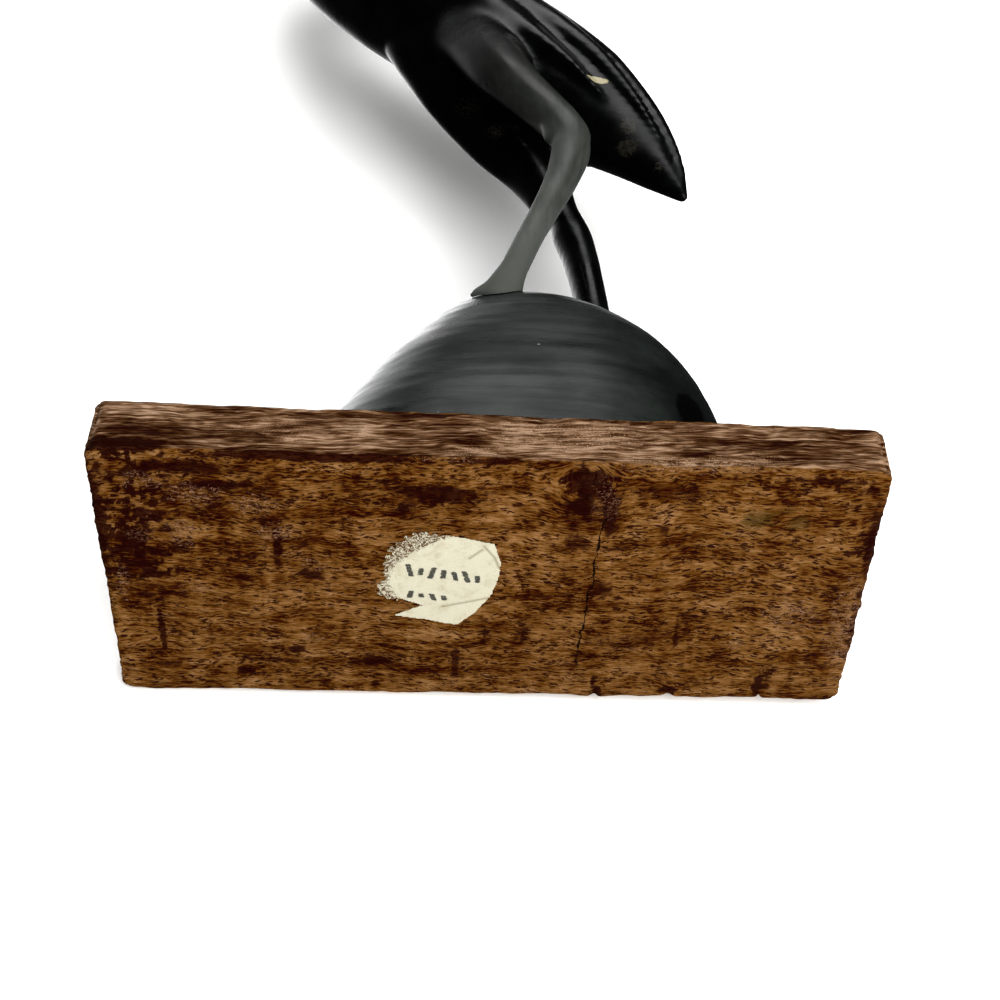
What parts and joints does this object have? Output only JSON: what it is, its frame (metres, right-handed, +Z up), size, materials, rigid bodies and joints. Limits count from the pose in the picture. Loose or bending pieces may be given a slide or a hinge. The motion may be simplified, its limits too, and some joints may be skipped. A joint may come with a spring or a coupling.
{
  "type": "carved horn bird figurine",
  "caption": "Carved black horn wading bird in a walking pose, standing on a smooth horn mound that is fixed on a worn rectangular wooden base.",
  "frame": {"origin": "middle of the wooden base's underside", "axes": "+Z up through the mound and the bird, -X the way the bird faces, -Y towards the bird's left side"},
  "size_m": [0.0846, 0.039, 0.2028],
  "materials": {
    "old_wood": "matte",
    "cream_paper": "matte",
    "grey_horn": "satin",
    "black_horn": "gloss"
  },
  "bodies": {
    "root": {"wooden_base": "old_wood", "paper_label": "cream_paper", "horn_mound": "grey_horn", "bird": "black_horn"}
  },
  "joints": []
}
